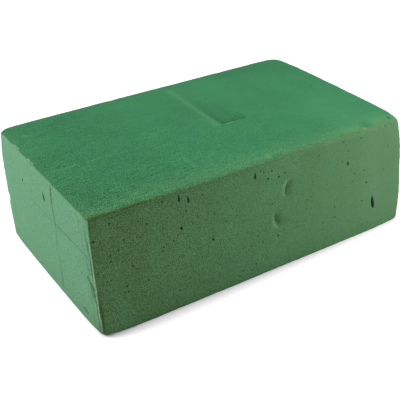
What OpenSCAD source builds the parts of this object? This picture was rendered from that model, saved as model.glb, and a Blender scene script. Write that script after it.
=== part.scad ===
// Floral foam brick: one rigid block of open-cell foam, sawn on all six sides.
// The origin is the centre of the face it rests on, +X runs along its length and +Z is up.
// The long face at -Y is the front, and the end face at -X is the left end.

/* [Brick] */
// Length of the brick, the standard 230 mm
brick_length = 230; // [220:1:260]
// Width of the brick
brick_width = 150; // [140:1:180]
// Height of the brick, the standard 80 mm
brick_height = 80; // [76:1:100]
// Radius that handling has rubbed onto every edge
edge_radius = 4; // [2:0.5:6]

/* [Strap imprint on the top] */
// Width of the strip pressed into the top
imprint_width = 20; // [10:1:30]
// Length of the strip, from its blunt end to where it fades out
imprint_length = 78; // [40:1:80]
// Depth at the blunt end
imprint_depth = 1.2; // [0.6:0.1:3]

/* [Fingernail dents in the front] */
// Radius of the ball that each dent is cut with
dent_radius = 6; // [4:0.5:10]
// Depth of each dent
dent_depth = 1.5; // [0.5:0.1:3]

/* [Open cells and saw marks] */
// Radius of the larger open cells
cell_radius = 0.9; // [0.5:0.1:1.5]
// Height of a torn slit
slit_height = 8; // [4:0.5:10]
// Width and depth of a torn slit
slit_width = 1.4; // [0.8:0.1:2]
// Width and depth of the grooves that the saw left across the ends
saw_mark = 0.6; // [0.4:0.1:1]

/* [Hidden] */
$fn = 48;

foam_green = [0.27, 0.52, 0.36];

// Places on the front as [x, z], on the top as [x, y] and on the left end as [y, z]
dent_places = [[20, 57], [11, 37]];
slit_places = [[90, 18], [68, 56], [-4, 70], [-57, 52], [-50, 68]];
front_cells = [
    [-95, 60], [-104, 50], [-91, 42], [-96, 30], [-62, 13],
    [-34, 57], [-26, 49], [-32, 26], [0, 24], [27, 26],
    [36, 43], [58, 30], [58, 22], [85, 40], [83, 50],
];
end_cells = [[-38, 19], [-45, 15], [-56, 36], [-24, 28], [32, 61]];
top_cells = [[-36, -55], [-70, 20], [62, 34], [84, -28]];
imprint_start = [21, -10];
saw_line_height = 56;
crease_place = -18;
chip_place = 35;

// How far a cutting shape stands out of the face that it cuts
overcut = 5;

module rounded_rectangle(width, height, radius) {
    square([width - 2 * radius, height], center = true);
    square([width, height - 2 * radius], center = true);
    for (sx = [-1, 1], sy = [-1, 1])
        translate([sx * (width / 2 - radius), sy * (height / 2 - radius)])
            circle(r = radius);
}

// The block seen along Z, along Y and along X, each with round corners
module sawn_block() {
    translate([0, 0, brick_height / 2])
        intersection() {
            linear_extrude(brick_height + 2 * overcut, center = true)
                rounded_rectangle(brick_length, brick_width, edge_radius);
            rotate([90, 0, 0])
                linear_extrude(brick_width + 2 * overcut, center = true)
                    rounded_rectangle(brick_length, brick_height, edge_radius);
            rotate([90, 0, 90])
                linear_extrude(brick_length + 2 * overcut, center = true)
                    rounded_rectangle(brick_width, brick_height, edge_radius);
        }
}

module on_front(x, z) {
    translate([x, -brick_width / 2, z]) children();
}

module on_end(y, z) {
    translate([-brick_length / 2, y, z]) children();
}

module on_top(x, y) {
    translate([x, y, brick_height]) children();
}

// A strip as deep as imprint_depth at its blunt end, which rises to nothing at its far end
module strap_imprint() {
    slope = atan(imprint_depth / imprint_length);
    on_top(imprint_start[0], imprint_start[1])
        translate([-imprint_width / 2, 0, -imprint_depth])
            rotate([slope, 0, 0])
                cube([imprint_width, imprint_length, overcut]);
}

module fingernail_dents() {
    for (place = dent_places)
        on_front(place[0], place[1])
            translate([0, dent_depth - dent_radius, 0])
                sphere(r = dent_radius);
}

module torn_slits() {
    for (place = slit_places)
        on_front(place[0], place[1])
            translate([-slit_width / 2, -overcut, 0])
                cube([slit_width, overcut + slit_width, slit_height]);
}

module open_cells() {
    for (place = front_cells)
        on_front(place[0], place[1])
            sphere(r = cell_radius);
    for (place = end_cells)
        on_end(place[0], place[1])
            sphere(r = cell_radius);
    for (place = top_cells)
        on_top(place[0], place[1])
            sphere(r = cell_radius);
}

// One groove across the end, one crease down it, and the chip knocked out of its front edge
module end_marks() {
    on_end(0, saw_line_height)
        cube([2 * saw_mark, brick_width - 4 * edge_radius, saw_mark], center = true);
    on_end(crease_place, brick_height / 2)
        cube([2 * saw_mark, saw_mark, brick_height - 4 * edge_radius], center = true);
    translate([-brick_length / 2, -brick_width / 2, chip_place])
        sphere(r = edge_radius);
}

module foam_brick() {
    color(foam_green)
        difference() {
            sawn_block();
            strap_imprint();
            fingernail_dents();
            torn_slits();
            open_cells();
            end_marks();
        }
}

foam_brick();
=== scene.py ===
"""A floral foam brick: one sawn, handled block of rigid green foam on a pale studio floor.

Places and sizes on the brick are in millimetres, from the centre of the face it rests on.
The long face at -Y is the front, and the end face at -X is the left end.
"""
import math
import random

import bpy
import numpy as np
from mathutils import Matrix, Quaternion, Vector, noise


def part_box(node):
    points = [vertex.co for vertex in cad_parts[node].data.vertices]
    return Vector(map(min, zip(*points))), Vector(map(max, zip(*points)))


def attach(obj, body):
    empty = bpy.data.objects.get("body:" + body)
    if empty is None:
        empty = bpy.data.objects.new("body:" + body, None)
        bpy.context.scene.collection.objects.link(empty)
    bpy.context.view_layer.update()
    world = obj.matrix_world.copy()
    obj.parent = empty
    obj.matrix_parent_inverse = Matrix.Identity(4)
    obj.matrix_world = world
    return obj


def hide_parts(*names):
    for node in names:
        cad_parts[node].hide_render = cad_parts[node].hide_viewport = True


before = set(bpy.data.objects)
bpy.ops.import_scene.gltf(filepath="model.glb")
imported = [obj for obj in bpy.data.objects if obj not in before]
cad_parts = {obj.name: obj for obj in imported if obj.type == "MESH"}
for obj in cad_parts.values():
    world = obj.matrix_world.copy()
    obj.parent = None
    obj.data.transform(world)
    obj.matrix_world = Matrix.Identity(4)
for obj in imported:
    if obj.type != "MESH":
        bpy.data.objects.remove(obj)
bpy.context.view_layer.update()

MM = 0.001
LOW, HIGH = (np.array(corner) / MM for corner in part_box("foam_brick"))
SIZE = HIGH - LOW
CENTRE = (LOW + HIGH) / 2
HALF = SIZE / 2
TOP = HIGH[2]
FRONT, BACK = LOW[1], HIGH[1]
LEFT, RIGHT = LOW[0], HIGH[0]

# The faces: the axis that runs across each, the one that runs up it and the one that points out of it, and
# then 0 where the face is on the low side of that last axis, or 1 where it is on the high side
FACES = {
    "front": (0, 2, 1, 0),
    "back": (0, 2, 1, 1),
    "left_end": (1, 2, 0, 0),
    "right_end": (1, 2, 0, 1),
    "top": (0, 1, 2, 1),
    "bottom": (0, 1, 2, 0),
}

# ---------------------------------------------------------------- what handling did to the block

# How far each corner of the sawn block lies off a true box, by its sides along X, Y and Z
OFF_SQUARE = {
    (0, 0, 0): (-0.8, -0.4, 0.0),
    (0, 0, 1): (-0.4, 0.3, 0.7),
    (0, 1, 0): (-1.4, -0.7, 0.0),
    (0, 1, 1): (0.7, 0.0, 1.5),
    (1, 0, 0): (0.2, 2.0, 0.0),
    (1, 0, 1): (-2.9, 1.2, -1.2),
    (1, 1, 0): (0.0, 0.0, 0.0),
    (1, 1, 1): (0.1, -1.2, -0.4),
}

# The roundness of the edges, and how far along an edge a rounder corner reaches
EDGE_RADIUS = 1.1
CORNER_REACH = 13.0
# How much the roundness varies, as a share of it, and the width of the stretches over which it does
EDGE_WEAR, EDGE_WEAR_WIDTH = 0.15, 22

# How round each corner is in plan, and how round the rim of the top or bottom is there, which is never more
CORNER_RADIUS = {
    (0, 0, 0): 5.5,
    (0, 0, 1): 1.5,
    (0, 1, 0): 4.0,
    (0, 1, 1): 8.0,
    (1, 0, 0): 4.5,
    (1, 0, 1): 6.5,
    (1, 1, 0): 6.0,
    (1, 1, 1): 10.0,
}
CORNER_RIM_RADIUS = {
    (0, 0, 0): 5.0,
    (0, 0, 1): 1.2,
    (0, 1, 0): 3.0,
    (0, 1, 1): 1.5,
    (1, 0, 0): 3.5,
    (1, 0, 1): 5.0,
    (1, 1, 0): 4.0,
    (1, 1, 1): 2.0,
}

# Open cells: place across and up the face, and width
CELLS = {
    "front": [
        (-113, 66, 1.3), (-102, 74, 1.0), (-95, 61, 0.8), (-104, 54, 0.8), (-104, 50, 1.1),
        (-97, 47, 0.8), (-91, 42, 1.1), (-113, 45, 1.0), (-96, 30, 1.1), (-62, 13, 1.0),
        (-47, 37, 0.8), (-34, 57, 0.8), (-26, 49, 1.0), (-68, 48, 0.8), (-19, 6, 0.8),
        (-6, 10, 1.0), (-32, 26, 0.8), (6, 68, 1.2), (14, 67, 1.2), (9, 73, 0.8), (12, 63, 0.8),
        (0, 24, 0.8), (12, 25, 1.1), (36, 43, 0.8), (34, 37, 0.8), (58, 30, 1.0), (58, 22, 1.0),
        (27, 26, 0.8), (85, 40, 1.1), (83, 50, 1.0), (75, 50, 0.8), (65, 76, 0.8),
    ],
    "left_end": [(-37, 18, 1.4), (-45, 16, 1.3), (-55, 36, 1.5), (-49, 8, 1.3), (-24, 28, 1.1)],
    "right_end": [
        (-52, 31, 1.2), (-30, 62, 1.0), (8, 18, 1.3), (35, 48, 1.0), (56, 25, 0.8), (48, 66, 1.0),
    ],
    "back": [
        (-84, 22, 1.2), (-60, 55, 1.0), (-21, 38, 1.3), (4, 64, 0.8), (31, 17, 1.2), (66, 44, 1.0),
        (95, 60, 1.2),
    ],
    "top": [(-36, -55, 1.2), (-100, 12, 0.8), (-88, -60, 1.0), (-60, -48, 0.8), (-16, -30, 0.8)],
    "bottom": [(-70, -30, 1.2), (20, 12, 1.1), (80, 41, 1.2)],
}

# Open cells too small to list: how many on each face, and the seed for their places
SMALL_CELLS = {
    "front": (64, 1),
    "left_end": (16, 2),
    "right_end": (12, 3),
    "back": (20, 4),
    "top": (20, 5),
    "bottom": (0, 6),
}
SMALL_CELL_WIDTHS = (0.6, 1.0)

# Torn slits: place of the middle, length, width and lean in degrees from upright
SLITS = {
    "front": [
        (90.7, 22.7, 10.5, 2.1, 7), (-3.5, 73, 4.4, 1.1, -2), (-57, 75, 4.8, 0.95, 3),
        (-51, 72.5, 4.6, 0.95, 3), (-57, 55.5, 2.8, 1.1, 5), (69, 59.5, 3.4, 1.0, 0), (-36, 40, 2.2, 0.8, 8),
    ],
    "left_end": [(-5.8, 64.5, 6.0, 2.6, -8), (33, 60, 3.0, 1.2, 6)],
    "right_end": [(-12, 44, 6.0, 1.1, -5), (41, 30, 3.6, 0.9, 4)],
    "back": [(-48, 30, 7.0, 1.2, -3), (52, 58, 4.2, 1.0, 6), (14, 26, 3.4, 0.9, 2)],
    "top": [],
    "bottom": [],
}

# How many times its width a slit is deep
SLIT_DEPTH = 2.2

# Marks along a line: start, end, width, height (below 0 for a groove) and how light it is rubbed, or, below 0,
# how dark the groove is painted as shade
LINES = {
    "front": [
        ((-80, 44), (-77, 31), 0.8, 0.15, 0.3), ((-79, 46), (-82, 50), 0.8, 0.12, 0.2),
        ((18, 14), (20, 2), 0.9, -0.2, -0.15), ((-114.1, 27), (-113.8, 7), 1.1, -0.8, -1.2),
        ((99.8, 79), (100.8, 76.8), 0.9, -0.4, -0.7), ((98.4, 79), (99.0, 77), 0.8, 0.1, 0.7),
        ((-68, 62), (-70, 56), 0.8, -0.15, -0.15),
    ],
    "left_end": [
        ((-21.5, 79.4), (-19.5, 65), 1.0, -1.1, -0.85), ((-19.5, 65), (-20.5, 50), 0.9, -0.9, -0.65),
        ((-20.5, 50), (-18, 36), 0.9, -0.6, -0.35), ((-18, 36), (-18.8, 18), 1.3, -0.3, -0.13),
        ((-18.8, 18), (-17, 4), 2.0, -0.5, -0.3),
        ((22, 51.5), (-20, 52.5), 0.8, -0.3, -0.18), ((-20, 52.5), (-69, 53), 0.8, -0.45, -0.4),
        ((-62.8, 38.2), (-65.4, 36.2), 1.2, -1.2, -1.4), ((-65.0, 37.4), (-68.2, 33.6), 0.9, -0.8, -0.9),
        ((-68.0, 35.8), (-69.8, 31), 1.5, -1.6, -1.8), ((-70.4, 34), (-71.8, 27), 0.9, -0.8, -1.0),
        ((-69.8, 30), (-72.0, 23), 1.4, -1.4, -1.5), ((-71.4, 24), (-72.4, 6), 1.0, -0.8, -1.0),
        ((-66, 33), (-69.5, 24), 0.8, -0.7, -0.6), ((-50.4, 8.8), (-56.4, 7.2), 1.5, -0.8, -0.7),
        ((-70.6, 64), (-71.6, 56), 0.8, -0.5, -0.7), ((-71.2, 53), (-70.6, 42), 0.9, -0.5, -0.7),
        ((-67.8, 47), (-66.8, 40), 0.8, -0.4, -0.5), ((-62.5, 60), (-61.5, 48), 0.8, -0.2, -0.2),
        ((-66.5, 56), (-65.5, 44), 0.8, -0.2, -0.25), ((-68.5, 70), (-70.5, 57), 0.8, -0.3, -0.35),
        ((-70, 50), (-68, 42), 0.8, 0.2, 0.3), ((-72, 56), (-71.2, 40), 0.8, -0.3, -0.4),
        ((-72.6, 71), (-73.9, 58), 1.1, 0.1, 0.7), ((-73.9, 58), (-73.6, 36), 1.1, 0.15, 1.3),
        ((-74.0, 36), (-73.8, 20), 1.1, 0.2, 1.8), ((-73.8, 20), (-72.8, 4), 1.1, 0.2, 1.6),
        ((-57, 76), (-59, 68), 0.8, 0.15, 0.4), ((60, 44), (62, 20), 1.2, -0.2, -0.15),
    ],
    "right_end": [
        ((-60, 58), (12, 56), 0.8, -0.3, -0.14), ((12, 56), (66, 53), 0.8, -0.3, -0.1),
        ((30, 78), (26, 54), 0.9, -0.5, -0.2), ((-40, 14), (-22, 30), 0.9, 0.15, 0.3),
        ((56, 40), (60, 12), 1.0, -0.3, -0.15),
    ],
    "back": [
        ((-98, 41), (-62, 42.5), 0.8, -0.25, -0.1), ((-8, 43), (25, 42), 0.8, -0.25, -0.1),
        ((70, 72), (78, 20), 1.0, -0.4, -0.15), ((-20, 62), (2, 54), 0.9, 0.15, 0.3),
    ],
    "top": [
        # The ridge along the strip's left side, made lighter as painted highlight
        ((9.2, -12.5), (11.2, 20), 4.4, 0.35, 0.26), ((11.2, 20), (12, 66), 5.0, 0.3, 0.22),
        ((-32.6, -36), (-34, -55), 2.2, 0.2, 0.2), ((-113, -8.5), (-88, -8), 1.1, 0.12, 0.32),
        ((-88, -8), (-58, -9), 1.1, 0.08, 0.26), ((-112.8, 26.5), (-109, 22), 0.8, -0.3, -0.3),
        ((-111, -41), (-106, -40), 0.9, -0.5, -0.5),
        ((-106, 54), (-98, 50), 1.6, 0.12, 0.25), ((-60, 8), (-34, 8.5), 0.8, 0.06, 0.10),
        ((-96, 2), (-70, 2.5), 0.7, 0.06, 0.12), ((-114.3, 46), (-113.9, 35), 1.0, 0.3, 1.7),
        ((-114.3, 19), (-114.2, 14), 1.0, 0.35, 2.0), ((-114.2, 13), (-114.0, 9.5), 1.0, 0.35, 2.0),
        ((11.2, -66.2), (9.8, -71.5), 1.4, 0.3, 0.8), ((-82.7, -68.5), (-81.7, -72.6), 0.8, -0.4, -0.6),
        ((108.3, -67.3), (107.1, -72.2), 1.1, -0.7, -0.9), ((38, -71.8), (41, -73.6), 0.8, 0.2, 0.9),
        ((40, -70.6), (42.6, -72), 0.8, -0.3, -0.4), ((66, -70.5), (67.2, -74), 0.7, -0.3, -0.5),
        ((15.5, -11.8), (21, -12.2), 0.9, 0.25, 0.8), ((23, -12), (27, -12), 0.8, 0.15, 0.35),
    ],
    "bottom": [((-90, 20), (80, 24), 1.0, -0.3, -0.1)],
}

# Fingernail dents in the front: middle of the nail's cut, across and up, and its lean in degrees from upright
NAIL_DENTS = [(18.4, 57.6, -16), (9.7, 36.4, 14)]
# The cut's radius and height, how far the hollow beside it reaches, how strongly that is pressed, and the lip
NAIL_RADIUS, NAIL_HEIGHT = 11.0, 13.0
NAIL_REACH = 7.0
NAIL_DEPTH, NAIL_LIP = 2.4, 0.6

# The strip pressed into the top: its sides, its blunt end, and how far each side runs before it fades out
STRIP_LEFT, STRIP_RIGHT, STRIP_END = 12.8, 33.4, -10.5
STRIP_LONG_SIDE, STRIP_SHORT_SIDE = 78.0, 26.0
# Its depth, and the height and width of the faint ribs in it; the ribs' height also sets their painted light
# and shade
STRIP_DEPTH = 1.8
STRIP_RIBS, STRIP_RIB_WIDTH = 0.30, 3.5

# The band rubbed lighter along the top's front edge: its width, how far that wanders, and the top's drop
BAND_WIDTH, BAND_WANDER, BAND_DROP = 10.0, 2.5, 0.25

# The wear on the front's top edge: where it begins and ends along X, and its roundness
RIM_WORN_FROM = (LEFT, -100)
RIM_WORN_TO = (-15, 50)
RIM_RADIUS = 4.6
# Where its pale stretch begins and is full, and how far that reaches from the edge
RIM_PALE_TO = (-60, 80)
RIM_PALE_REACH = 2.2

# How stained the top is close to that edge: places along X, and the amount at each
RIM_PLACES = (-115, -104, -96, -88, -80, -66, -52, -40, -10, 20, 50, 115)
RIM_STAINS = (0.55, 0.75, 0.95, 1.00, 0.84, 0.48, 0.40, 0.38, 0.30, 0.36, 0.24, 0.20)
RIM_STAIN_REACH = 3.0

# The frayed skin on the left end: its middle behind the front, how far it reaches, and its fibres' width
FRAY_MIDDLE, FRAY_REACH, FIBRE_WIDTH = 4, 5, 2.6

# How far the saw bowed the left end, the right end and the right of the top outward
LEFT_BOW, RIGHT_BOW, TOP_BOW = 0.5, 0.4, 0.3

# How far a whole face waves, an edge waves, and its crumbs stand out, each with its width
FACE_WAVE, FACE_WAVE_WIDTH = 0.2, 60
EDGE_WAVE, EDGE_WAVE_WIDTH = 0.15, 9
CRUMBLE, CRUMB_WIDTH = 0.12, 2.2

# Knocks and chips on the edges and corners: middle, reach, depth, and how light they are rubbed or, below 0,
# how dark they are painted as shade
KNOCKS = [
    ((16, FRONT + 4, TOP), 4.4, 0.7, -0.35),
    # A chip on the top's front edge, darkened inside as painted shade
    ((88.5, FRONT + 7, TOP), 6.0, 1.3, -0.45),
    ((84, FRONT + 1.5, TOP), 2.4, -0.3, 0.8),
    ((81, FRONT, TOP - 1), 2.2, -0.2, 0.8),
    # The left end's front top corner, crushed and darkened around it as painted shade
    ((LEFT, FRONT, TOP), 6.0, 0.8, -0.2),
    # No dent: only painted shade on the rounded corner at the left end's front foot
    ((LEFT, FRONT + 2, 3), 6.0, 0.0, -0.7),
    ((LEFT, 31, TOP), 3.0, 0.5, 0.0),
    ((LEFT, 25, TOP), 2.2, 0.4, 0.0),
    ((LEFT, 11, TOP), 2.4, 0.5, -0.2),
    ((LEFT, -18, TOP), 4.0, 0.4, 0.0),
    ((LEFT, FRONT, 34), 3.0, 0.6, 0.1),
    ((LEFT, FRONT, 12), 3.0, 0.4, 0.1),
    ((RIGHT, BACK, 48), 5.0, 1.1, 0.3),
    ((-30, BACK, TOP), 4.0, 0.2, 0.1),
    ((62, BACK, TOP), 4.0, 0.12, 0.1),
    ((LEFT, BACK, 30), 4.5, 0.6, 0.3),
    ((RIGHT, -28, 0), 6.0, 1.2, 0.2),
    ((-40, BACK, 0), 6.0, 1.1, 0.2),
]


# ---------------------------------------------------------------- the mesh: a grid, finer at the detail

# The grid's largest cell in mm, the steps it divides into, and a number above any grid number, for the keys
CELL = 5.0
FINE_STEPS = 16
KEY_STEP = 4096
GRID = np.array([round(side / CELL) for side in SIZE]) * FINE_STEPS
UNIT = SIZE / GRID
# Cell sizes in steps, and the width of the zone of smaller cells along the edges in mm
FLAT_CELL, MIDDLE_CELL, EDGE_CELL, FINEST_CELL = 8, 4, 2, 1
EDGE_ZONE = 3.0
# A line wider than this does with middle cells, and its patches lie this far apart
WIDE_LINE = 2
PATCH_STEP = 2.5

# The corners of a cell, in order around it
AROUND = ((0, 0), (1, 0), (1, 1), (0, 1))


def line_patches(start, end, width):
    """Small squares along a line that need smaller cells."""
    half = 0.6 + width
    steps = max(1, int(math.dist(start, end) / PATCH_STEP))
    for step in range(steps + 1):
        share = step / steps
        across = start[0] + share * (end[0] - start[0])
        up = start[1] + share * (end[1] - start[1])
        yield (across, up, half, half, EDGE_CELL if width < WIDE_LINE else MIDDLE_CELL)


def cells_on(face):
    """The face's listed open cells, and the small ones, whose places are drawn at random."""
    count, seed = SMALL_CELLS[face]
    draw = random.Random(seed)
    across, up = FACES[face][:2]
    small = []
    for _ in range(count):
        place_across = LOW[across] + draw.uniform(0.03, 0.97) * SIZE[across]
        place_up = LOW[up] + draw.uniform(0.06, 0.96) * SIZE[up]
        small.append((place_across, place_up, draw.uniform(*SMALL_CELL_WIDTHS)))
    return CELLS[face] + small


def detail_patches(face):
    """The marks on a face that need small cells: middle and half sizes in mm, and cell size in steps."""
    patches = []
    for across, up, width in cells_on(face):
        patches.append((across, up, width / 2 + 0.3, width / 2 + 0.3, FINEST_CELL))
    for across, up, length, width, _ in SLITS[face]:
        patches.append((across, up, width / 2 + 0.8, length / 2 + 0.5, FINEST_CELL))
    for start, end, width, *_ in LINES[face]:
        patches.extend(line_patches(start, end, width))
    if face == "front":
        for across, up, _ in NAIL_DENTS:
            patches.append((across + 1, up, 3.0, NAIL_HEIGHT / 2, FINEST_CELL))
            patches.append((across + 3, up, 6.0, NAIL_HEIGHT / 2 + 1, EDGE_CELL))
    if face == "top":
        middle = (STRIP_LEFT + STRIP_RIGHT) / 2
        half = (STRIP_RIGHT - STRIP_LEFT) / 2 + 1
        patches.append((middle, STRIP_END, half, 2.0, EDGE_CELL))
        patches.append((middle, STRIP_END + 13, half, 13, MIDDLE_CELL))
        patches.extend(line_patches((STRIP_LEFT, STRIP_END), (STRIP_LEFT, 50), 0.8))
        patches.extend(line_patches((STRIP_RIGHT, STRIP_END), (STRIP_RIGHT, 16), 0.8))
    return patches


def detail_boxes(face):
    """Boxes on a face: sides across and up, and the size that cells in them split to, all in steps."""
    across, up = FACES[face][:2]
    wide, tall = GRID[across], GRID[up]
    hidden = face == "bottom"
    boxes = [] if hidden else [(-1, wide + 1, -1, tall + 1, FLAT_CELL)]
    zone = EDGE_ZONE / UNIT[across]
    for a0, a1, b0, b1, is_low in (
        (-1, wide + 1, -1, zone, True),
        (-1, wide + 1, tall - zone, tall + 1, False),
        (-1, zone, -1, tall + 1, False),
        (wide - zone, wide + 1, -1, tall + 1, False),
    ):
        at_floor = hidden or (up == 2 and is_low)
        boxes.append((a0, a1, b0, b1, MIDDLE_CELL if at_floor else EDGE_CELL))
    for a, b, half_a, half_b, cell in detail_patches(face):
        a_grid, b_grid = (a - LOW[across]) / UNIT[across], (b - LOW[up]) / UNIT[up]
        reach_a, reach_b = half_a / UNIT[across], half_b / UNIT[up]
        boxes.append((a_grid - reach_a, a_grid + reach_a, b_grid - reach_b, b_grid + reach_b, cell))
    return boxes


def face_cells(face):
    """Square cells over a face, split where it needs detail: place across and up, and size, all in steps."""
    across, up = FACES[face][:2]
    boxes = detail_boxes(face)
    size = FINE_STEPS
    a, b = np.meshgrid(np.arange(0, GRID[across], size), np.arange(0, GRID[up], size), indexing="ij")
    cells = np.stack([a.ravel(), b.ravel()], 1)
    done = []
    while len(cells):
        split = np.zeros(len(cells), bool)
        for a0, a1, b0, b1, finest in boxes:
            if finest < size:
                margin = size // 2 if finest == FINEST_CELL else 0
                inside_a = (cells[:, 0] < a1 + margin) & (cells[:, 0] + size > a0 - margin)
                inside_b = (cells[:, 1] < b1 + margin) & (cells[:, 1] + size > b0 - margin)
                split |= inside_a & inside_b
        kept = cells[~split]
        done.append(np.column_stack([kept, np.full(len(kept), size)]))
        size //= 2
        cells = np.concatenate([cells[split] + np.array(step) * size for step in AROUND])
    return np.concatenate(done)


def grid_key(face, a, b):
    """One whole number for each grid point; faces that meet share those along their edge."""
    across, up, out, side = FACES[face]
    place = [None, None, None]
    place[across] = a
    place[up] = b
    place[out] = np.full_like(a, GRID[out] * side)
    return (place[0] * KEY_STEP + place[1]) * KEY_STEP + place[2]


def split_edge(first, last, known):
    """The keys from first up to, but without, last, with those between that smaller neighbours use."""
    steps = math.gcd(*(abs(x) for x in unpack(last) - unpack(first) if x))
    stride = (last - first) // steps
    return [first + stride * n for n in range(steps) if n == 0 or first + stride * n in known]


def unpack(key):
    """The three grid numbers in a key, or in each of many keys."""
    return np.stack([key // KEY_STEP**2, key // KEY_STEP % KEY_STEP, key % KEY_STEP], -1)


def fan(face, keys, row, known):
    """Triangles from a cell's middle to its outline, which takes in the neighbours' smaller cells."""
    a, b, size = row
    outline = []
    for n in range(4):
        outline.extend(split_edge(keys[n], keys[(n + 1) % 4], known))
    middle = int(grid_key(face, np.array(a + size // 2), np.array(b + size // 2)))
    return [[middle, key, outline[(n + 1) % len(outline)]] for n, key in enumerate(outline)]


def brick_polygons():
    """Closed mesh of the square box, as grid keys: four-sided cells, and fans where their sizes change."""
    cells = {face: face_cells(face) for face in FACES}
    corners = {}
    for face, rows in cells.items():
        a, b, size = rows.T
        ring = [grid_key(face, a + da * size, b + db * size) for da, db in AROUND]
        corners[face] = np.stack(ring, 1)
    known = np.unique(np.concatenate([ring.ravel() for ring in corners.values()]))
    known_set = set(known.tolist())
    polygons = []
    for face, ring in corners.items():
        across, up, out, side = FACES[face]
        runs_inward = (side == 0) == ((across, up, out) != (0, 2, 1))
        if runs_inward:
            ring = ring[:, ::-1]
        following = np.roll(ring, -1, 1)
        halfway = (ring + following) // 2
        divided = np.isin(halfway, known) & (cells[face][:, 2] > 1)[:, None]
        whole = ~divided.any(1)
        polygons.extend(ring[whole].tolist())
        for keys, row in zip(ring[~whole].tolist(), cells[face][~whole]):
            polygons.extend(fan(face, keys, row, known_set))
    return polygons


# ---------------------------------------------------------------- the shape of the surface


def smooth_step(x, start, end):
    """0 before start, 1 after end, and a smooth rise between."""
    t = np.clip((x - start) / (end - start), 0, 1)
    return t * t * (3 - 2 * t)


def ripple(points, width, seed, octaves=3):
    """Smooth noise from about -1 to 1 at each point, in bumps about width mm wide, different by seed."""
    shift = np.array([17.3, 5.1, 9.7]) * seed
    return np.array([noise.fractal(Vector(p), 1.0, 2.0, octaves) for p in points / width + shift])


def flat_points(across, up):
    """Points for the ripple of a face, from its places across and up, which may be stretched first."""
    return np.column_stack([across, up, 0 * up])


def corner_blend(points, values):
    """Blends the values given for the eight corners over the box."""
    share = (points - LOW) / SIZE
    total = 0
    for sides, value in values.items():
        weight = np.ones(len(points))
        for axis, side in enumerate(sides):
            weight *= share[:, axis] if side else 1 - share[:, axis]
        total = total + weight[:, None] * np.atleast_1d(value)
    return total


def round_edges(points):
    """Moves the points of the square box onto one with rubbed edges, and gives the directions out of it.

    The upright edges are rounded first, in plan, and then the rims of the top and bottom.
    """
    wear = 1 + EDGE_WEAR * ripple(points, EDGE_WEAR_WIDTH, 1, 2)
    sides = np.minimum(points - LOW, HIGH - points)
    level = sides[:, 2]
    along_rim = sides[:, :2].max(1)
    extra_upright = corner_blend(points, CORNER_RADIUS)[:, 0] - EDGE_RADIUS
    extra_rim = corner_blend(points, CORNER_RIM_RADIUS)[:, 0] - EDGE_RADIUS
    upright = (EDGE_RADIUS + np.exp(-((level / CORNER_REACH) ** 2)) * extra_upright) * wear
    rim = (EDGE_RADIUS + np.exp(-((along_rim / CORNER_REACH) ** 2)) * extra_rim) * wear
    plan = points[:, :2]
    centre = np.clip(plan, LOW[:2] + upright[:, None], HIGH[:2] - upright[:, None])
    away = plan - centre
    length = np.linalg.norm(away, axis=1)
    plan_out = away / np.maximum(length, 1e-9)[:, None]
    rounded = centre + plan_out * np.abs(away).max(1)[:, None]

    inward = sides[:, :2].min(1)
    upward = np.where(points[:, 2] > CENTRE[2], 1, -1)
    sideways = np.maximum(rim - inward, 0)
    steep = np.maximum(rim - level, 0)
    reach = np.maximum(np.hypot(sideways, steep), 1e-9)
    rounded += plan_out * (sideways * (rim / reach - 1))[:, None]
    height = points[:, 2] + upward * steep * (rim / reach - 1)
    out = np.column_stack([plan_out * (sideways / reach)[:, None], upward * steep / reach])
    return np.column_stack([rounded, height]), out


class Face:
    """The mesh points on one face: their numbers, and their places across and up it in mm."""

    def __init__(self, name, points):
        across, up, out, side = FACES[name]
        level = (LOW, HIGH)[side][out]
        self.index = np.flatnonzero(np.abs(points[:, out] - level) < 1e-6)
        self.across = points[self.index, across]
        self.up = points[self.index, up]


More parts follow.
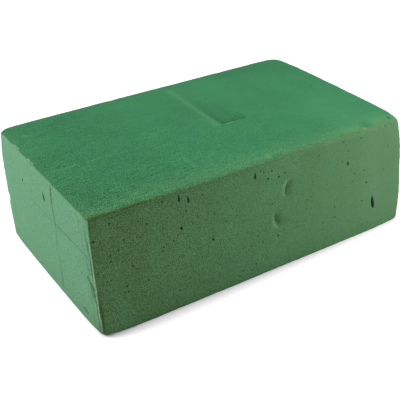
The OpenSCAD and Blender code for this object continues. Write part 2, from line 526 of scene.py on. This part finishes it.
class Surface:
    """What is done to each mesh point: how far it moves out, how rubbed and stained its foam is, and the
    painted shade and light on it.
    """

    def __init__(self, points):
        self.points = points
        self.faces = {name: Face(name, points) for name in FACES}
        self.height = np.zeros(len(points))
        self.torn = np.zeros(len(points))
        self.rubbed = np.zeros(len(points))
        self.stain_and_shade = np.zeros(len(points))
        self.dust_and_painted_light = np.zeros(len(points))
        self.combed = np.zeros(len(points))

    def cell(self, face, across, up, width):
        """An open cell: a small round pit, as deep as it is wide, painted dark inside as shade."""
        f = self.faces[face]
        share = np.hypot(f.across - across, f.up - up) / (width / 2)
        bowl = np.sqrt(np.clip(1 - share**2, 0, 1))
        self.height[f.index] -= width * bowl
        self.torn[f.index] = np.maximum(self.torn[f.index], smooth_step(1.1 - share, 0, 0.4))

    def slit(self, face, across, up, length, width, lean):
        """A torn slit: pointed at the top, blunt at the bottom, and painted dark inside as shade."""
        f = self.faces[face]
        tilt = math.radians(lean)
        x, y = f.across - across, f.up - up
        along = (x * -math.sin(tilt) + y * math.cos(tilt)) / (length / 2)
        aside = (x * math.cos(tilt) + y * math.sin(tilt)) / (width / 2)
        opening = np.sqrt(np.clip(1 - along**2, 0, 1)) * (1 - 0.35 * along)
        share = np.abs(aside) / np.maximum(opening, 0.05)
        inside = (np.abs(along) < 1) & (share < 1.3)
        deep = np.where(inside, np.clip(1 - share**2, 0, 1), 0)
        self.height[f.index] -= SLIT_DEPTH * width * np.sqrt(deep)
        dark = np.where(inside, smooth_step(1.3 - share, 0, 0.5), 0)
        self.torn[f.index] = np.maximum(self.torn[f.index], dark)

    def line(self, face, start, end, width, height, rub):
        """A ridge or groove along a line, soft at its sides and ends, made lighter by its rub or, in a groove,
        darker as painted shade.
        """
        f = self.faces[face]
        run = np.subtract(end, start)
        length = np.hypot(*run)
        x, y = f.across - start[0], f.up - start[1]
        along = (x * run[0] + y * run[1]) / length
        aside = (x * run[1] - y * run[0]) / length
        ends = smooth_step(along, -0.8, 1.2) * smooth_step(length - along, -0.8, 1.2)
        profile = np.exp(-((aside / width * 1.8) ** 2)) * ends
        self.height[f.index] += height * profile
        self.rubbed[f.index] += rub * profile

    def nail_dent(self, across, up, lean):
        """A fingernail's curved cut with a raised lip, and the hollow that the fingertip left beside it, with
        a painted highlight on the lip and painted shade in the hollow.
        """
        f = self.faces["front"]
        tilt = math.radians(lean)
        x, y = f.across - across, f.up - up
        aside = x * math.cos(tilt) + y * math.sin(tilt)
        along = y * math.cos(tilt) - x * math.sin(tilt)
        within = NAIL_RADIUS - np.hypot(aside - NAIL_RADIUS, along)
        within = np.where(aside < NAIL_RADIUS, within, 99)
        tall = np.clip(1 - (along / (NAIL_HEIGHT / 2)) ** 2, 0, 1)
        hollow = smooth_step(within, -0.2, 0.9) * np.clip(1 - within / NAIL_REACH, 0, 1) ** 1.3 * tall
        lip = np.exp(-(((within + 1.5) / 1.8) ** 2)) * tall
        self.height[f.index] += NAIL_LIP * lip - NAIL_DEPTH * hollow
        # The lip is painted lighter as a highlight, and the hollow darker as shade
        self.rubbed[f.index] += 0.85 * lip - 0.8 * hollow
        self.stain_and_shade[f.index] -= 0.08 * lip

    def pressed_strip(self):
        """The strip in the top: deepest at its blunt end, and fading out along its length, with painted shade
        in it that is darkest at that end.
        """
        f = self.faces["top"]
        share = np.clip((f.across - STRIP_LEFT) / (STRIP_RIGHT - STRIP_LEFT), 0, 1)
        run = STRIP_LONG_SIDE + (STRIP_SHORT_SIDE - STRIP_LONG_SIDE) * share
        fade = np.clip(1 - (f.up - STRIP_END) / run, 0, 1) ** 1.5
        walls = smooth_step(f.across, STRIP_LEFT - 0.4, STRIP_LEFT + 2.0)
        walls *= smooth_step(STRIP_RIGHT - f.across, -0.4, 2.5)
        walls *= smooth_step(f.up, STRIP_END - 0.6, STRIP_END + 1.4)
        grooves = ripple(flat_points(f.across, f.up * 0.08), STRIP_RIB_WIDTH, 14, 2)
        ribs = grooves * STRIP_RIBS * fade * walls
        self.height[f.index] -= STRIP_DEPTH * fade * walls + ribs
        # Painted shade in the strip, darkest at its blunt end, and on the ribs' grooves, with their crests
        # lighter
        end_shade = 1 - smooth_step(f.up, STRIP_END + 1, STRIP_END + 6)
        self.rubbed[f.index] -= (0.34 + 0.3 * end_shade) * fade * walls + ribs

    def knock(self, middle, reach, depth, rub):
        """A crushed or chipped place on an edge or corner, or a lump where depth is below 0; its rub lightens
        it, or below 0 darkens it as painted shade.
        """
        near = np.linalg.norm(self.points - np.array(middle), axis=1) / reach
        dip = np.clip(1 - near**2, 0, 1) ** 1.5
        self.height -= depth * dip
        self.rubbed += rub * dip


def slope_to_front(surface):
    """The top falls away a little towards its front edge, where hands have rubbed it lighter."""
    f = surface.faces["top"]
    wander = ripple(flat_points(f.across, 0 * f.up), 30, 2, 2)
    reach = BAND_WIDTH + BAND_WANDER * wander - (f.up - FRONT)
    surface.height[f.index] -= BAND_DROP * smooth_step(reach, 0, BAND_WIDTH)
    surface.rubbed[f.index] += 0.12 * smooth_step(reach, -14, -3) + 0.20 * smooth_step(reach, -3, 6)
    surface.rubbed[f.index] += 0.10 * smooth_step(f.across, 0, RIGHT) * smooth_step(reach, -3, 4)
    surface.stain_and_shade[f.index] += 0.07 * smooth_step(reach, -14, -3) + 0.14 * smooth_step(reach, -1, 7)


def wear_front_rim(surface):
    """The front's top edge: worn round and stained in patches on its left, and rubbed pale on its right."""
    x, y, z = surface.points.T
    inward = np.maximum(y - FRONT, TOP - z)
    along = flat_points(x, 0 * x)
    worn = smooth_step(x, *RIM_WORN_FROM) * (1 - smooth_step(x, *RIM_WORN_TO))
    radius = EDGE_RADIUS + (RIM_RADIUS - EDGE_RADIUS) * worn * (1 + 0.25 * ripple(along, 14, 11, 2))
    missing = np.clip(radius - np.maximum(inward, EDGE_RADIUS), 0, None)
    surface.height -= radius - np.sqrt(radius**2 - missing**2)
    pale = smooth_step(x, *RIM_PALE_TO) * np.exp(-((inward / RIM_PALE_REACH) ** 2))
    surface.rubbed += 0.34 * pale * (1 + 0.5 * ripple(along, 7, 12, 2))
    f = surface.faces["top"]
    amount = np.interp(f.across, RIM_PLACES, RIM_STAINS)
    surface.stain_and_shade[f.index] += amount * np.exp(-(((f.up - FRONT) / RIM_STAIN_REACH) ** 3))


def bow_faces(surface):
    """The saw wandered, so the ends and the right of the top are a little bowed."""
    for face, bow in (("left_end", LEFT_BOW), ("right_end", RIGHT_BOW)):
        f = surface.faces[face]
        surface.height[f.index] += bow * (1 - (f.across / HALF[1]) ** 2)
    f = surface.faces["top"]
    near_right = smooth_step(f.across, RIGHT - 90, RIGHT)
    surface.height[f.index] += TOP_BOW * near_right * (1 - (f.up / HALF[1]) ** 2)


def dust_and_light_faces(surface):
    """The sawn ends are paler, partly dust and partly a painted sheen. The front and back are less so, and the
    front more towards its right, where that is painted light.
    """
    for face, amount in (("left_end", 1.0), ("right_end", 0.8), ("front", 0.25), ("back", 0.25)):
        surface.dust_and_painted_light[surface.faces[face].index] = amount
    f = surface.faces["front"]
    # The front lighter towards its right: painted light
    surface.dust_and_painted_light[f.index] += 0.5 * smooth_step(f.across, 0, RIGHT + 40)


def age_front(surface):
    """The front has aged to olive in streaks and blotches, most of all at its upper left."""
    f = surface.faces["front"]
    streaks = ripple(flat_points(f.across, f.up * 0.25), 16, 3, 3)
    blotches = ripple(flat_points(f.across, f.up), 34, 4, 2)
    leftward = 1 - smooth_step(f.across, LEFT, 30)
    high_up = smooth_step(f.up, 0, TOP)
    stain = 0.585 + (0.11 + 0.05 * high_up) * leftward + 0.045 * streaks + 0.03 * blotches
    surface.stain_and_shade[f.index] = np.maximum(surface.stain_and_shade[f.index], stain)


def age_top(surface):
    """The top has combed strands all over, is rubbed near its left edge, and a little olive there."""
    f = surface.faces["top"]
    surface.combed[f.index] = 1
    near_left = np.exp(-(f.across - LEFT) / 9)
    near_corner = np.exp(-(((f.across - LEFT) / 60) ** 2) - ((f.up - FRONT) / 50) ** 2)
    surface.rubbed[f.index] += 0.16 * near_left
    surface.stain_and_shade[f.index] += 0.05 * near_left + 0.06 * near_corner


def age_left_end(surface):
    """The left end is rubbed along its top and frayed along its front; it is darkened at its foot, most of all
    at its front corner, as painted shade, and darker in streaks near its front.
    """
    f = surface.faces["left_end"]
    fray = np.exp(-(((f.across - FRONT - FRAY_MIDDLE) / FRAY_REACH) ** 2))
    skin = ripple(flat_points(f.across, f.up * 0.07), FIBRE_WIDTH, 15, 2)
    surface.rubbed[f.index] += 0.12 * np.exp(-(TOP - f.up) / 6) + 0.45 * fray * skin
    surface.height[f.index] += 0.12 * fray * skin
    near_front = np.exp(-(((f.across - FRONT) / 14) ** 2))
    streaks = ripple(flat_points(f.across, f.up * 0.2), 5, 13, 3)
    # Painted shade at the foot, most of all at the rounded front corner
    surface.stain_and_shade[f.index] += (0.15 + 0.45 * near_front) * np.exp(-f.up / 12)
    # Darker in streaks near the front
    surface.stain_and_shade[f.index] += 0.09 * near_front * (1 + streaks)


def crumble_edges(surface, out):
    """Every face waves a little, and the edges crumble."""
    points = surface.points
    on_edge = smooth_step(1 - np.abs(out).max(1), 0.01, 0.15)
    crumbs = CRUMBLE * ripple(points, CRUMB_WIDTH, 5, 3)
    surface.height += FACE_WAVE * ripple(points, FACE_WAVE_WIDTH, 6, 2)
    surface.height += on_edge * (EDGE_WAVE * ripple(points, EDGE_WAVE_WIDTH, 8, 3) + crumbs)
    surface.rubbed += on_edge * (0.08 + 0.25 * ripple(points, 6, 9, 2))


def shape_surface(points, out):
    """Everything that happened to the block, and the painted light and shade on it, as heights and masks on
    its mesh points.
    """
    surface = Surface(points)
    for face in FACES:
        for cell in cells_on(face):
            surface.cell(face, *cell)
        for slit in SLITS[face]:
            surface.slit(face, *slit)
        for line in LINES[face]:
            surface.line(face, *line)
    surface.pressed_strip()
    for knock in KNOCKS:
        surface.knock(*knock)
    slope_to_front(surface)
    wear_front_rim(surface)
    bow_faces(surface)
    dust_and_light_faces(surface)
    age_front(surface)
    age_top(surface)
    age_left_end(surface)
    for dent in NAIL_DENTS:
        surface.nail_dent(*dent)
    crumble_edges(surface, out)
    return surface


def float_attribute(mesh, name, values):
    """Stores one number for each mesh point, for the material to read."""
    attribute = mesh.attributes.new(name, "FLOAT", "POINT")
    attribute.data.foreach_set("value", values.astype(np.float32))


def make_brick():
    """The whole brick as one closed mesh."""
    polygons = brick_polygons()
    keys = np.unique(np.concatenate([np.array(p) for p in polygons]))
    number = {key: n for n, key in enumerate(keys.tolist())}
    points = LOW + unpack(keys) * UNIT
    rounded, out = round_edges(points)
    surface = shape_surface(points, out)
    shaped = rounded + out * surface.height[:, None]
    shaped += corner_blend(points, OFF_SQUARE)
    shaped[:, 2] = np.maximum(shaped[:, 2], LOW[2])
    mesh = bpy.data.meshes.new("foam_brick_skin")
    mesh.from_pydata((shaped * MM).tolist(), [], [[number[key] for key in p] for p in polygons])
    mesh.polygons.foreach_set("use_smooth", [True] * len(mesh.polygons))
    float_attribute(mesh, "torn", np.clip(surface.torn, 0, 1))
    float_attribute(mesh, "rubbed", np.clip(surface.rubbed, -1, 2))
    float_attribute(mesh, "stain_and_shade", np.clip(surface.stain_and_shade, 0, 1))
    float_attribute(mesh, "dust_and_painted_light", surface.dust_and_painted_light)
    float_attribute(mesh, "combed", surface.combed)
    mesh.validate()
    mesh.update()
    brick = bpy.data.objects.new("floral_foam_block", mesh)
    bpy.context.scene.collection.objects.link(brick)
    return brick


# ---------------------------------------------------------------- the foam's material

FRESH_GREEN = (0.051, 0.232, 0.102, 1)
SHADE_GREEN = (0.043, 0.196, 0.086, 1)
# Rubbed foam, and the painted highlight on the nail dents' lips
RUBBED_OR_LIT_GREEN = (0.142, 0.325, 0.142, 1)
# Paler green, partly dust and partly painted sheen and light
DUST_AND_LIGHT_GREEN = (0.125, 0.301, 0.166, 1)
# What light rubbing, and a faint painted highlight on ridges, adds to the green under it
LIGHTENING = (0.041, 0.063, 0.031, 1)
CRUMB_GREEN = (0.360, 0.470, 0.340, 1)
OLIVE = (0.052, 0.084, 0.025, 1)
TOP_OLIVE = (0.047, 0.086, 0.016, 1)
# Nearly black: the painted shade in holes, slits, pores, grooves, hollows and chips
PIT_SHADE_GREEN = (0.001, 0.009, 0.003, 1)
# The share of red, green and blue in the grain, so that light and dark grains have the same hue
GRAIN_TINT = (0.50, 1.0, 0.60, 1)

# Widths in mm: the colour's drift and mottling, the grain and strands, and the cells of pores and bursts
CLOUD_WIDTH, MOTTLE_WIDTH = 45, 9
GRAIN_WIDTH, STRAND_WIDTH = 0.4, 0.8
PORE_SPACING, BURST_SPACING = 0.6, 3.2

# How the strands are stretched along X, and how the grain is turned so that its pattern follows no face
STRAND_STRETCH = (0.12, 1.0, 1.0)
GRAIN_TURN = (0.6, 0.4, 0.9)

# How much each adds to or takes from the foam's brightness, and how dark the painted shade in pores and bursts
# is
GRAIN_TONE, CELL_TONE, STRAND_TONE = 0.60, 0.12, 0.11
PORE_DARKNESS, BURST_DARKNESS = 0.45, 0.85

# Away from the front left edge the grain gets weaker and the foam lighter, the latter as painted light: the
# way, and where along it each change begins and ends
FADE_WAY = (1.0, 0.9, 0.0)
GRAIN_FADE = (30, 220)
PAINTED_LIGHT_FADE = (30, 260)

BUMP_STRENGTH, BUMP_HEIGHT = 0.35, 0.35 * MM
FOAM_SHINE = 0.12


class Nodes:
    """Short calls for building a material's node tree."""

    def __init__(self, tree):
        self.tree = tree

    def add(self, kind, settings=None, **inputs):
        """Adds a node and sets its fields and inputs. An input goes by name, or by number as i0, i1 and so on.

        One that is given as a socket is linked.
        """
        made = self.tree.nodes.new(kind)
        for field, value in (settings or {}).items():
            setattr(made, field, value)
        for name, value in inputs.items():
            numbered = name[0] == "i" and name[1:].isdigit()
            socket = made.inputs[int(name[1:]) if numbered else name]
            if isinstance(value, bpy.types.NodeSocket):
                self.tree.links.new(value, socket)
            else:
                socket.default_value = value
        return made

    def math(self, operation, a, b=0.0, clamp=False):
        """One sum on two numbers."""
        made = self.add("ShaderNodeMath", {"operation": operation, "use_clamp": clamp}, i0=a, i1=b)
        return made.outputs[0]

    def range(self, value, low, high, to_low=0.0, to_high=1.0):
        """Maps low..high to to_low..to_high, and holds it there."""
        made = self.add("ShaderNodeMapRange", None, i0=value, i1=low, i2=high, i3=to_low, i4=to_high)
        return made.outputs[0]

    def mix(self, share, a, b, blend="MIX"):
        """Mixes two colours."""
        made = self.add("ShaderNodeMix", {"data_type": "RGBA", "blend_type": blend}, i0=share, i6=a, i7=b)
        return made.outputs[2]

    def grey(self, value):
        """The grey that is as bright as a number."""
        return self.add("ShaderNodeCombineColor", None, i0=value, i1=value, i2=value).outputs[0]

    def green(self, colour):
        """The green part of a colour."""
        return self.add("ShaderNodeSeparateColor", None, i0=colour).outputs[1]

    def noise(self, place, width, detail=0.0):
        """Soft noise in bumps about that many mm wide."""
        return self.add("ShaderNodeTexNoise", None, Vector=place, Scale=1 / width, Detail=detail).outputs[0]

    def cells(self, place, width):
        """The distance to the nearest cell's middle, for cells that many mm wide, and a colour per cell."""
        made = self.add("ShaderNodeTexVoronoi", None, Vector=place, Scale=1 / width)
        return made.outputs["Distance"], made.outputs["Color"]

    def attribute(self, name):
        """A number stored on the mesh points."""
        return self.add("ShaderNodeAttribute", {"attribute_name": name}).outputs["Fac"]


class Textures:
    """The patterns that the foam's colour, pores and relief share, on places in mm."""

    def __init__(self, n):
        in_metres = n.add("ShaderNodeTexCoord").outputs["Object"]
        scaled = n.add("ShaderNodeVectorMath", {"operation": "SCALE"}, i0=in_metres, Scale=1 / MM)
        self.place = scaled.outputs[0]
        turn = {"rotation_type": "EULER_XYZ"}
        turned = n.add("ShaderNodeVectorRotate", turn, Vector=self.place, Rotation=GRAIN_TURN).outputs[0]
        combing = n.add("ShaderNodeVectorMath", {"operation": "MULTIPLY"}, i0=self.place, i1=STRAND_STRETCH)
        self.cloud = n.noise(self.place, CLOUD_WIDTH, 3)
        self.mottle = n.noise(self.place, MOTTLE_WIDTH)
        self.grain = n.noise(turned, GRAIN_WIDTH)
        self.strand = n.noise(combing.outputs[0], STRAND_WIDTH)
        self.strand_share = n.math("MULTIPLY", n.attribute("combed"), STRAND_TONE)
        self.cell, cell_colour = n.cells(turned, PORE_SPACING)
        self.cell_pick = n.green(cell_colour)
        self.burst = n.cells(turned, BURST_SPACING)[0]


def foam_colour(n, t):
    """Green that drifts a little, with dust and painted sheen, rubbing, olive ageing, and painted highlights
    and shade over it where the mesh says so.
    """
    shade = n.math("ADD", n.math("MULTIPLY", t.cloud, 0.88), n.math("MULTIPLY", t.mottle, 0.12))
    colour = n.mix(n.range(shade, 0.3, 0.65), SHADE_GREEN, FRESH_GREEN)
    colour = n.mix(n.attribute("dust_and_painted_light"), colour, DUST_AND_LIGHT_GREEN)
    rubbed = n.attribute("rubbed")
    colour = n.mix(n.range(rubbed, 0, 0.4), colour, LIGHTENING, "ADD")
    colour = n.mix(n.range(rubbed, 0.4, 1), colour, RUBBED_OR_LIT_GREEN)
    colour = n.mix(n.range(rubbed, 1, 2), colour, CRUMB_GREEN)
    # Below 0, darker towards black: painted shade in grooves, hollows and chips
    colour = n.mix(n.range(rubbed, -1, 0, 0.8, 0), colour, PIT_SHADE_GREEN)
    patchy = n.range(t.mottle, 0.3, 0.7, 0.98, 1.01)
    olive = n.mix(n.attribute("combed"), OLIVE, TOP_OLIVE)
    # Olive where stained, and the same olive as painted shade at the left end's foot
    return n.mix(n.math("MULTIPLY", n.attribute("stain_and_shade"), patchy, clamp=True), colour, olive)


def foam_fades(n, t):
    """How strong the grain is, which is less where the foam is paler with dust and painted light, and the
    painted light that makes the foam lighter away from its front left edge.
    """
    along = n.add("ShaderNodeVectorMath", {"operation": "DOT_PRODUCT"}, i0=t.place, i1=FADE_WAY)
    edge = float(FADE_WAY[0] * LEFT + FADE_WAY[1] * FRONT)
    along = n.math("SUBTRACT", along.outputs["Value"], edge)
    strength = n.range(along, *GRAIN_FADE, 1.06, 0.2)
    strength = n.math("MULTIPLY", strength, n.range(n.attribute("dust_and_painted_light"), 0.5, 1.0, 1.0, 0.6))
    return strength, n.range(along, *PAINTED_LIGHT_FADE, 0.93, 1.05)


def add_grain(n, t, colour, strength):
    """Makes grains and strands lighter or darker, in proportion to how bright the foam is."""
    tone = n.math("MULTIPLY", n.range(t.grain, 0.25, 0.75, -1, 1), GRAIN_TONE)
    tone = n.math("ADD", tone, n.math("MULTIPLY", n.range(t.cell, 0.15, 0.7, 1, -1), CELL_TONE))
    tone = n.math("ADD", tone, n.math("MULTIPLY", n.range(t.strand, 0.3, 0.7, -1, 1), t.strand_share))
    tone = n.math("MULTIPLY", tone, strength)
    tone = n.math("MULTIPLY", tone, n.green(colour))
    return n.mix(1.0, colour, n.mix(1.0, GRAIN_TINT, n.grey(tone), "MULTIPLY"), "ADD")


def add_pores(n, t, colour, strength):
    """Paints shade into some of the cells as dark pores, a few wider ones as bursts, and into the open cells
    and slits.
    """
    pore = n.math("MULTIPLY", n.range(t.cell, 0.45, 0.25), n.range(t.cell_pick, 0.9, 0.94))
    colour = n.mix(n.math("MULTIPLY", pore, n.math("MULTIPLY", strength, PORE_DARKNESS)), colour, PIT_SHADE_GREEN)
    burst = n.range(t.burst, 0.14, 0.07)
    colour = n.mix(n.math("MULTIPLY", burst, n.math("MULTIPLY", strength, BURST_DARKNESS)), colour, PIT_SHADE_GREEN)
    return n.mix(n.attribute("torn"), colour, PIT_SHADE_GREEN)


def foam_relief(n, t):
    """Bumps from the grain, the cells and the strands."""
    relief = n.math("ADD", t.grain, n.math("MULTIPLY", n.range(t.cell, 0.1, 0.5), 0.5))
    relief = n.math("ADD", relief, n.math("MULTIPLY", t.strand, n.math("MULTIPLY", t.strand_share, 3.0)))
    bump = n.add("ShaderNodeBump", None, Strength=BUMP_STRENGTH, Distance=BUMP_HEIGHT, Height=relief)
    return bump.outputs[0]


def foam_material():
    """Rigid open-cell foam: matt green with fine grain, open cells, olive ageing and rubbed light edges, and
    painted shade and light over it.
    """
    material = bpy.data.materials.new("foam_green")
    material.use_nodes = True
    tree = material.node_tree
    tree.nodes.clear()
    n = Nodes(tree)
    t = Textures(n)
    strength, painted_lightness = foam_fades(n, t)
    # Painted light: the foam made lighter away from the front left edge
    colour = n.mix(1.0, foam_colour(n, t), n.grey(painted_lightness), "MULTIPLY")
    colour = add_grain(n, t, colour, strength)
    colour = add_pores(n, t, colour, strength)
    roughness = n.range(t.grain, 0.25, 0.75, 0.88, 1.0)
    shader = n.add("ShaderNodeBsdfPrincipled", None, Roughness=roughness, Normal=foam_relief(n, t))
    tree.links.new(colour, shader.inputs["Base Color"])
    shader.inputs["Specular IOR Level"].default_value = FOAM_SHINE
    output = n.add("ShaderNodeOutputMaterial")
    tree.links.new(shader.outputs[0], output.inputs[0])
    return material


# ---------------------------------------------------------------- the studio

CAMERA_LENS, CAMERA_SENSOR = 76, 36
CAMERA_AZIMUTH, CAMERA_ELEVATION, CAMERA_ROLL = -29, 29, -4
CAMERA_DISTANCE = 584 * MM
CAMERA_AIM = Vector((CENTRE[0] - 6, CENTRE[1] - 5.5, CENTRE[2] - 14)) * MM

# The two lamps: place and size in metres, and power in watts
KEY_PLACE, KEY_SIZE, KEY_POWER = (-1.15, 0.55, 1.0), 0.9, 17.5
FILL_PLACE, FILL_SIZE, FILL_POWER = (0.32, -0.33, 0.26), 0.15, 1.6

# The room's brightness straight overhead, how fast that falls off to the sides, and what is left everywhere
OVERHEAD, OVERHEAD_FALL, EVERYWHERE = 1.08, 3.0, 0.045

# The floor: half its side in metres, and its colour, slightly pink against the green that the brick casts
FLOOR_HALF = 6.0
FLOOR_COLOUR = (0.93, 0.87, 0.93, 1)

# How strongly the open floor glows, and from how open a place on, within how far of the brick,
# it glows less as a painted contact shadow
FLOOR_GLOW = 0.47
SHADOW_OPENNESS = (0.5, 1.0)
SHADOW_REACH = 10 * MM

# The glow left close to the brick as painted shadow: elsewhere, on the key's side, where it paints the key's
# light on the floor, and what more there is towards the right, as painted fill light
SHADE_GLOW, KEY_SIDE_GLOW, FILL_GLOW = 0.03, 0.40, 0.14
FILL_FROM = 35 * MM


def make_camera():
    """The camera, on the aim point from its azimuth and elevation, and rolled a little."""
    azimuth, elevation = math.radians(CAMERA_AZIMUTH), math.radians(CAMERA_ELEVATION)
    level = math.cos(elevation)
    back = Vector((math.sin(azimuth) * level, -math.cos(azimuth) * level, math.sin(elevation)))
    data = bpy.data.cameras.new("camera")
    data.lens = CAMERA_LENS
    data.sensor_width = CAMERA_SENSOR
    data.clip_start, data.clip_end = 0.01, 100
    camera = bpy.data.objects.new("camera", data)
    camera.location = CAMERA_AIM + back * CAMERA_DISTANCE
    camera.rotation_mode = "QUATERNION"
    roll = Quaternion((0, 0, 1), math.radians(CAMERA_ROLL))
    camera.rotation_quaternion = (-back).to_track_quat("-Z", "Y") @ roll
    bpy.context.scene.collection.objects.link(camera)
    bpy.context.scene.camera = camera


def area_light(name, place, size, power):
    """A square soft white light at place, in metres, facing the brick."""
    data = bpy.data.lights.new(name, "AREA")
    data.shape = "SQUARE"
    data.size = size
    data.energy = power
    light = bpy.data.objects.new(name, data)
    light.location = place
    light.visible_camera = False
    aim = Vector(CENTRE) * MM - Vector(place)
    light.rotation_mode = "QUATERNION"
    light.rotation_quaternion = aim.to_track_quat("-Z", "Y")
    bpy.context.scene.collection.objects.link(light)


def light_studio():
    """A soft key behind on the left, a small low fill in front on the right, and a room lit from overhead."""
    area_light("key", KEY_PLACE, KEY_SIZE, KEY_POWER)
    area_light("fill", FILL_PLACE, FILL_SIZE, FILL_POWER)
    world = bpy.data.worlds.new("room")
    world.use_nodes = True
    n = Nodes(world.node_tree)
    direction = n.add("ShaderNodeTexCoord").outputs["Generated"]
    upward = n.add("ShaderNodeSeparateXYZ", None, i0=direction).outputs[2]
    overhead = n.math("POWER", n.math("MAXIMUM", upward, 0.0), OVERHEAD_FALL)
    strength = n.math("ADD", n.math("MULTIPLY", overhead, OVERHEAD), EVERYWHERE)
    background = world.node_tree.nodes["Background"]
    background.inputs["Color"].default_value = (1, 1, 1, 1)
    world.node_tree.links.new(strength, background.inputs["Strength"])
    bpy.context.scene.world = world
    bpy.context.scene.view_settings.view_transform = "Standard"


def floor_glow(n):
    """How strongly each place on the floor glows: evenly in the open, and less close around the brick as a
    painted contact shadow, which is painted lighter on the key's side and towards the right.
    """
    openness = n.add("ShaderNodeAmbientOcclusion", None, Distance=SHADOW_REACH).outputs["AO"]
    place = n.add("ShaderNodeTexCoord").outputs["Object"]
    along = n.add("ShaderNodeSeparateXYZ", None, i0=place).outputs[0]
    left_edge, left_floor = float(LEFT + 3) * MM, float(LEFT - 2) * MM
    key_lit = n.range(along, left_edge, left_floor, SHADE_GLOW, KEY_SIDE_GLOW)
    fill_lit = n.range(along, FILL_FROM, float(RIGHT) * MM, 0.0, FILL_GLOW)
    least = n.math("ADD", key_lit, fill_lit)
    return n.range(openness, *SHADOW_OPENNESS, least, FLOOR_GLOW)


def make_floor():
    """A wide white floor that glows faintly like a light table, with a painted shadow close around the brick.
    """
    corners = [(FLOOR_HALF * (2 * a - 1), FLOOR_HALF * (2 * b - 1), LOW[2] * MM) for a, b in AROUND]
    mesh = bpy.data.meshes.new("floor")
    mesh.from_pydata(corners, [], [(0, 1, 2, 3)])
    floor = bpy.data.objects.new("floor", mesh)
    material = bpy.data.materials.new("floor_white")
    material.use_nodes = True
    shader = material.node_tree.nodes["Principled BSDF"]
    shader.inputs["Base Color"].default_value = FLOOR_COLOUR
    shader.inputs["Roughness"].default_value = 0.9
    shader.inputs["Specular IOR Level"].default_value = 0.0
    shader.inputs["Emission Color"].default_value = (1, 1, 1, 1)
    glow = floor_glow(Nodes(material.node_tree))
    material.node_tree.links.new(glow, shader.inputs["Emission Strength"])
    mesh.materials.append(material)
    bpy.context.scene.collection.objects.link(floor)


make_camera()
light_studio()
make_floor()
brick = make_brick()
brick.data.materials.append(foam_material())
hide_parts("foam_brick")
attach(brick, "root")
